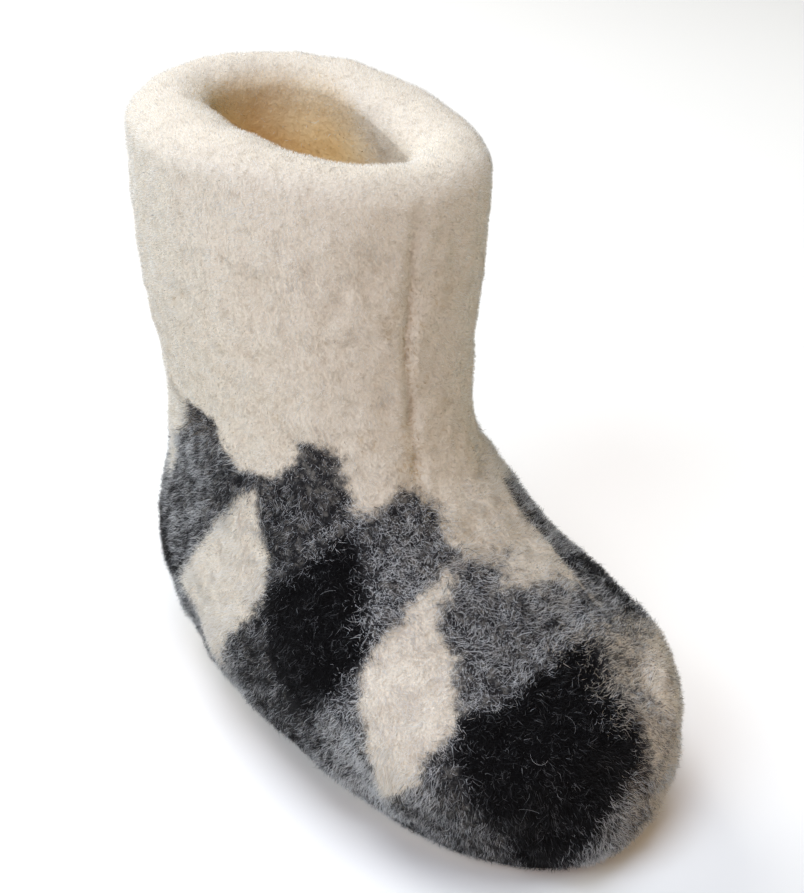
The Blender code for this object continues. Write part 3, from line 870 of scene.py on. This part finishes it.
def makePile(name, lookName, walkRange, angleDegrees):
    # a ribbon along each hair's curve, tapered to a point; it is shaded by the skin's normal, turned a little by the
    # lean of its tuft and by its own turn
    look = dict(zip(pileColumns, pile[lookName]))
    walk, angle = scatter(walkRange, angleDegrees, look["perArea"])
    count, steps = len(walk), hairs["steps"]
    point, normal, upward, side = wallFrame(walk, angle)
    tone, shade = hairTone(point, walk)
    cream = shade < creamShade
    root = point + normal * (skinHeight(point, walk) - pileDepth(walk) - hairs["sunk"])[:, None]
    flow = [softNoise(point, hairs["flow"], seed) for seed in (31, 32)]
    share = np.linspace(0.0, 1.0, steps)[None, :]
    path = hairPaths(look, walk, cream, root, (normal, upward, side), flow, share)
    tangent = unit(np.gradient(path, axis=1))
    flat = unit(np.cross(tangent, normal[:, None]) + 1e-6)
    roll = (draw.normal(0.0, hairs["roll"], count) * np.where(cream, creamHair["roll"], 1.0))[:, None, None]
    flat = flat * np.cos(roll) + np.cross(tangent, flat) * np.sin(roll)
    width = look["width"] * draw.uniform(*hairs["widths"], count) * np.where(cream, creamHair["width"], 1.0)
    half = 0.5 * flat * (width[:, None, None] * (1.0 - hairs["taper"] * share[..., None]))
    body = np.stack(((path - half)[:, :-1], (path + half)[:, :-1]), axis=2).reshape(count, -1, 3)
    points = np.concatenate((body, path[:, -1:]), axis=1)
    perHair = points.shape[1]
    start = 2 * np.arange(steps - 2)[:, None]
    pattern = np.concatenate((start + (0, 1, 3), start + (0, 3, 2), [(perHair - 3, perHair - 2, perHair - 1)]))
    triangles = (np.arange(count)[:, None, None] * perHair + pattern[None]).reshape(-1, 3)
    upturn = brow["turn"] * (brow["outer"] + (1.0 - brow["outer"]) * innerFront(point))
    upturn = upturn * window(walk, brow["start"], brow["end"])
    facing = unit(skinNormal(point, walk, normal, upward, side) + upturn[:, None] * worldUp)
    tuftUp, tuftSide = (lean + hairs["tuftShare"] * softNoise(point, hairs["tuft"], seed)
                        for lean, seed in zip(flow, (33, 34)))
    fluff = look["fluff"] * (upward * tuftUp[:, None] + side * tuftSide[:, None])
    ribbon = np.cross(flat, tangent)
    ribbon = ribbon * np.where(np.sum(ribbon * normal[:, None], axis=-1) < 0.0, -1.0, 1.0)[..., None]
    shine = np.where(cream, look["creamGloss"], look["darkGloss"])[:, None, None]
    shading = unit((facing + fluff)[:, None] + shine * ribbon)
    shading = np.concatenate((np.repeat(shading[:, :-1], 2, axis=1), shading[:, -1:]), axis=1)
    u = tone[:, None] + np.array([-hairs["toneSplit"], hairs["toneSplit"]] * (steps - 1) + [0.0])[None]
    v = np.broadcast_to(np.append(np.repeat(share[0, :-1], 2), 1.0), u.shape)
    uv = np.stack((u, toneEnds[0] + (toneEnds[1] - toneEnds[0]) * v), -1).reshape(-1, 2)
    addPiece(name, points.reshape(-1, 3), triangles, hairWool, uv[triangles.ravel()],
             normals=shading.reshape(-1, 3))


for patch in patches:
    makePile(*patch)

# Stray hairs: a few long ones lie loose on the pile, pale on the dark wool and dark on the cream. Given one by one are
# place, angle, length in mm, turn in radians and tone; the others are drawn by chance
loose = dict(
    placed=((2.88, -22.0, 7.0, 2.6, "white"), (3.47, -2.0, 8.0, 1.2, "silver"), (3.05, -12.0, 6.0, -1.6, "silver"),
            (7.54, -31.0, 2.4, 0.8, "brown"), (7.80, -104.0, 2.2, 0.5, "brown"), (8.15, -72.0, 2.6, -0.6, "brown"),
            (7.86, -126.0, 2.0, 0.4, "charcoal"), (6.90, -62.0, 2.2, 0.9, "brown"), (7.10, 40.0, 2.4, -0.7, "brown")),
    count=48, length=(3.0, 7.0), turn=(-2.4, 2.4), places=(1.6, 4.8), width=0.05, steps=9, height=0.9, lift=0.5,
    tipRange=(0.5, 0.98),
)


def makeLooseHairs():
    # each hair runs on the pile along a direction that turns evenly, lifted in the middle
    extra = loose["count"]
    placed = list(zip(*loose["placed"]))
    walk = np.concatenate((placed[0], draw.uniform(*loose["places"], extra)))
    angle = np.concatenate((np.radians(placed[1]), draw.uniform(-math.pi, math.pi, extra)))
    length = np.concatenate((placed[2], draw.uniform(*loose["length"], extra)))
    turn = np.concatenate((placed[3], draw.uniform(*loose["turn"], extra)))
    tone = np.concatenate(([tones[name] for name in placed[4]], draw.uniform(tones["slate"], tones["silver"], extra)))
    point, normal, upward, side = wallFrame(walk, angle)
    keep = (np.arange(len(walk)) < len(loose["placed"])) | (checkShade(point, walk)[0] > creamShade)
    walk, length, turn, tone, point, normal, upward, side = (
        values[keep] for values in (walk, length, turn, tone, point, normal, upward, side))
    root = point + normal * (skinHeight(point, walk) - pileDepth(walk) + loose["height"])[:, None]
    share = np.linspace(0.0, 1.0, loose["steps"])[None]
    heading = draw.uniform(-math.pi, math.pi, len(walk))[:, None] + turn[:, None] * share
    stride = (length / (loose["steps"] - 1))[:, None]
    ahead, aside = (np.cumsum(step(heading) * stride, axis=1)[..., None] for step in (np.cos, np.sin))
    lift = loose["lift"] * np.sin(math.pi * share)[..., None]
    path = root[:, None] + upward[:, None] * ahead + side[:, None] * aside + normal[:, None] * lift
    half = 0.5 * loose["width"] * unit(np.cross(np.gradient(path, axis=1), normal[:, None]))
    points = np.stack((path - half, path + half), axis=2)
    start = np.arange(len(walk))[:, None] * 2 * loose["steps"] + 2 * np.arange(loose["steps"] - 1)[None]
    faces = np.stack([start.ravel() + corner for corner in (0, 1, 3, 2)], -1)
    u = tone[:, None, None] + np.array((-hairs["toneSplit"], hairs["toneSplit"]))[None, None]
    low, high = loose["tipRange"]
    v = np.broadcast_to(low + (high - low) * share[..., None], (len(walk), loose["steps"], 2))
    uv = np.stack((np.broadcast_to(u, v.shape), v), -1).reshape(-1, 2)
    shading = np.repeat(normal, 2 * loose["steps"], axis=0)
    addPiece("loose_hairs", points.reshape(-1, 3), faces, hairWool, uv[faces.ravel()], normals=shading)


makeLooseHairs()

# Floor, light and camera. Lamps: direction by shares of the view's right, back and up, then power and colour
stage = dict(floor=6.0, cloud=333.0, lampSize=1.4, lampDistance=2.2, lampAim=0.08, world=0.01, worldColour="#ffffff")
lamps = dict(
    window=dict(right=-0.7, back=-0.7, up=0.8, power=34.2, colour="#fffcf4"),
    cool=dict(right=-0.7, back=0.7, up=0.8, power=26.6, colour="#dff1ff"),
    warm=dict(right=0.0, back=1.0, up=0.8, power=9.6, colour="#ffc8ac"),
    opposite=dict(right=1.0, back=0.0, up=0.7, power=7.8, colour="#fff6c7"),
    above=dict(right=-0.1, back=0.1, up=1.0, power=29.8, colour="#e3edff"),
)
eye = dict(
    azimuth=48.01, elevation=30.37, roll=3.1, distance=427.3, focal=1523.6, target=(0.0, 0.0, 95.0),
    frame=(804, 893), fill=0.955, sensor=36.0, clip=(0.01, 20.0),
)


def makeFloor():
    # square of matte board, hardly clouded, under the slipper
    material, tree, shader = newMaterial("pale_matte_floor")
    place = addNode(tree, "TexCoord").outputs["Object"]
    cloud = addNode(tree, "TexNoise", {"Vector": place, "Scale": perMetre(stage["cloud"]), "Detail": 2.0})
    ramp = addNode(tree, "ValToRGB", {"Fac": cloud.outputs["Fac"]})
    fillRamp(ramp, [(0.0, "#f8f7f5"), (1.0, "#fbfaf8")])
    feed(tree, shader, {"Base Color": ramp.outputs["Color"], "Roughness": 0.9})
    corners = 0.5 * stage["floor"] * np.array(((-1.0, -1.0, 0.0), (1.0, -1.0, 0.0), (1.0, 1.0, 0.0), (-1.0, 1.0, 0.0)))
    mesh = bpy.data.meshes.new("floor")
    mesh.from_pydata(corners.tolist(), [], [(0, 1, 2, 3)])
    mesh.materials.append(material)
    floor = addObject("floor", mesh)


def viewAxes():
    # right, up and back of the camera, from its azimuth, elevation and roll
    azimuth, elevation, roll = (math.radians(eye[name]) for name in ("azimuth", "elevation", "roll"))
    outwards = np.array((math.sin(azimuth), -math.cos(azimuth), 0.0))
    back = math.cos(elevation) * outwards + math.sin(elevation) * worldUp
    level = np.array((math.cos(azimuth), math.sin(azimuth), 0.0))
    upright = np.cross(back, level)
    right = math.cos(roll) * level + math.sin(roll) * upright
    up = math.cos(roll) * upright - math.sin(roll) * level
    return right, up, back


def makeCamera():
    # looks along the view's back axis; the focal length in pixels of the frame becomes one in mm on the sensor
    right, up, back = viewAxes()
    data = bpy.data.cameras.new("camera")
    data.sensor_width = eye["sensor"]
    data.lens = eye["focal"] * eye["fill"] * eye["sensor"] / max(eye["frame"])
    data.clip_start, data.clip_end = eye["clip"]
    place = (np.array(eye["target"]) + back * eye["distance"]) * mm
    bpy.context.scene.camera = addObject("camera", data, (right, up, back), place)


def makeLamp(name, look):
    # round area lamp at a distance along its direction from the slipper, facing it
    right, up, back = viewAxes()
    data = bpy.data.lights.new(name, "AREA")
    data.shape, data.size, data.energy = "DISK", stage["lampSize"], look["power"]
    data.color = hexColour(look["colour"])[:3]
    away = unit(look["right"] * right + look["back"] * unit(back * (1.0, 1.0, 0.0)) + look["up"] * worldUp)
    aside = unit(np.cross(worldUp, away))
    place = away * stage["lampDistance"] + stage["lampAim"] * worldUp
    addObject(name, data, (aside, np.cross(away, aside), away), place)


makeFloor()
makeCamera()
for name, look in lamps.items():
    makeLamp(name, look)
world = bpy.data.worlds.new("studio")
world.use_nodes = True
sky = {"Color": hexColour(stage["worldColour"]), "Strength": stage["world"]}
feed(world.node_tree, world.node_tree.nodes["Background"], sky)
bpy.context.scene.world = world
bpy.context.scene.view_settings.view_transform = "Standard"
print("stage:", len(lamps), "lamps, floor and camera")
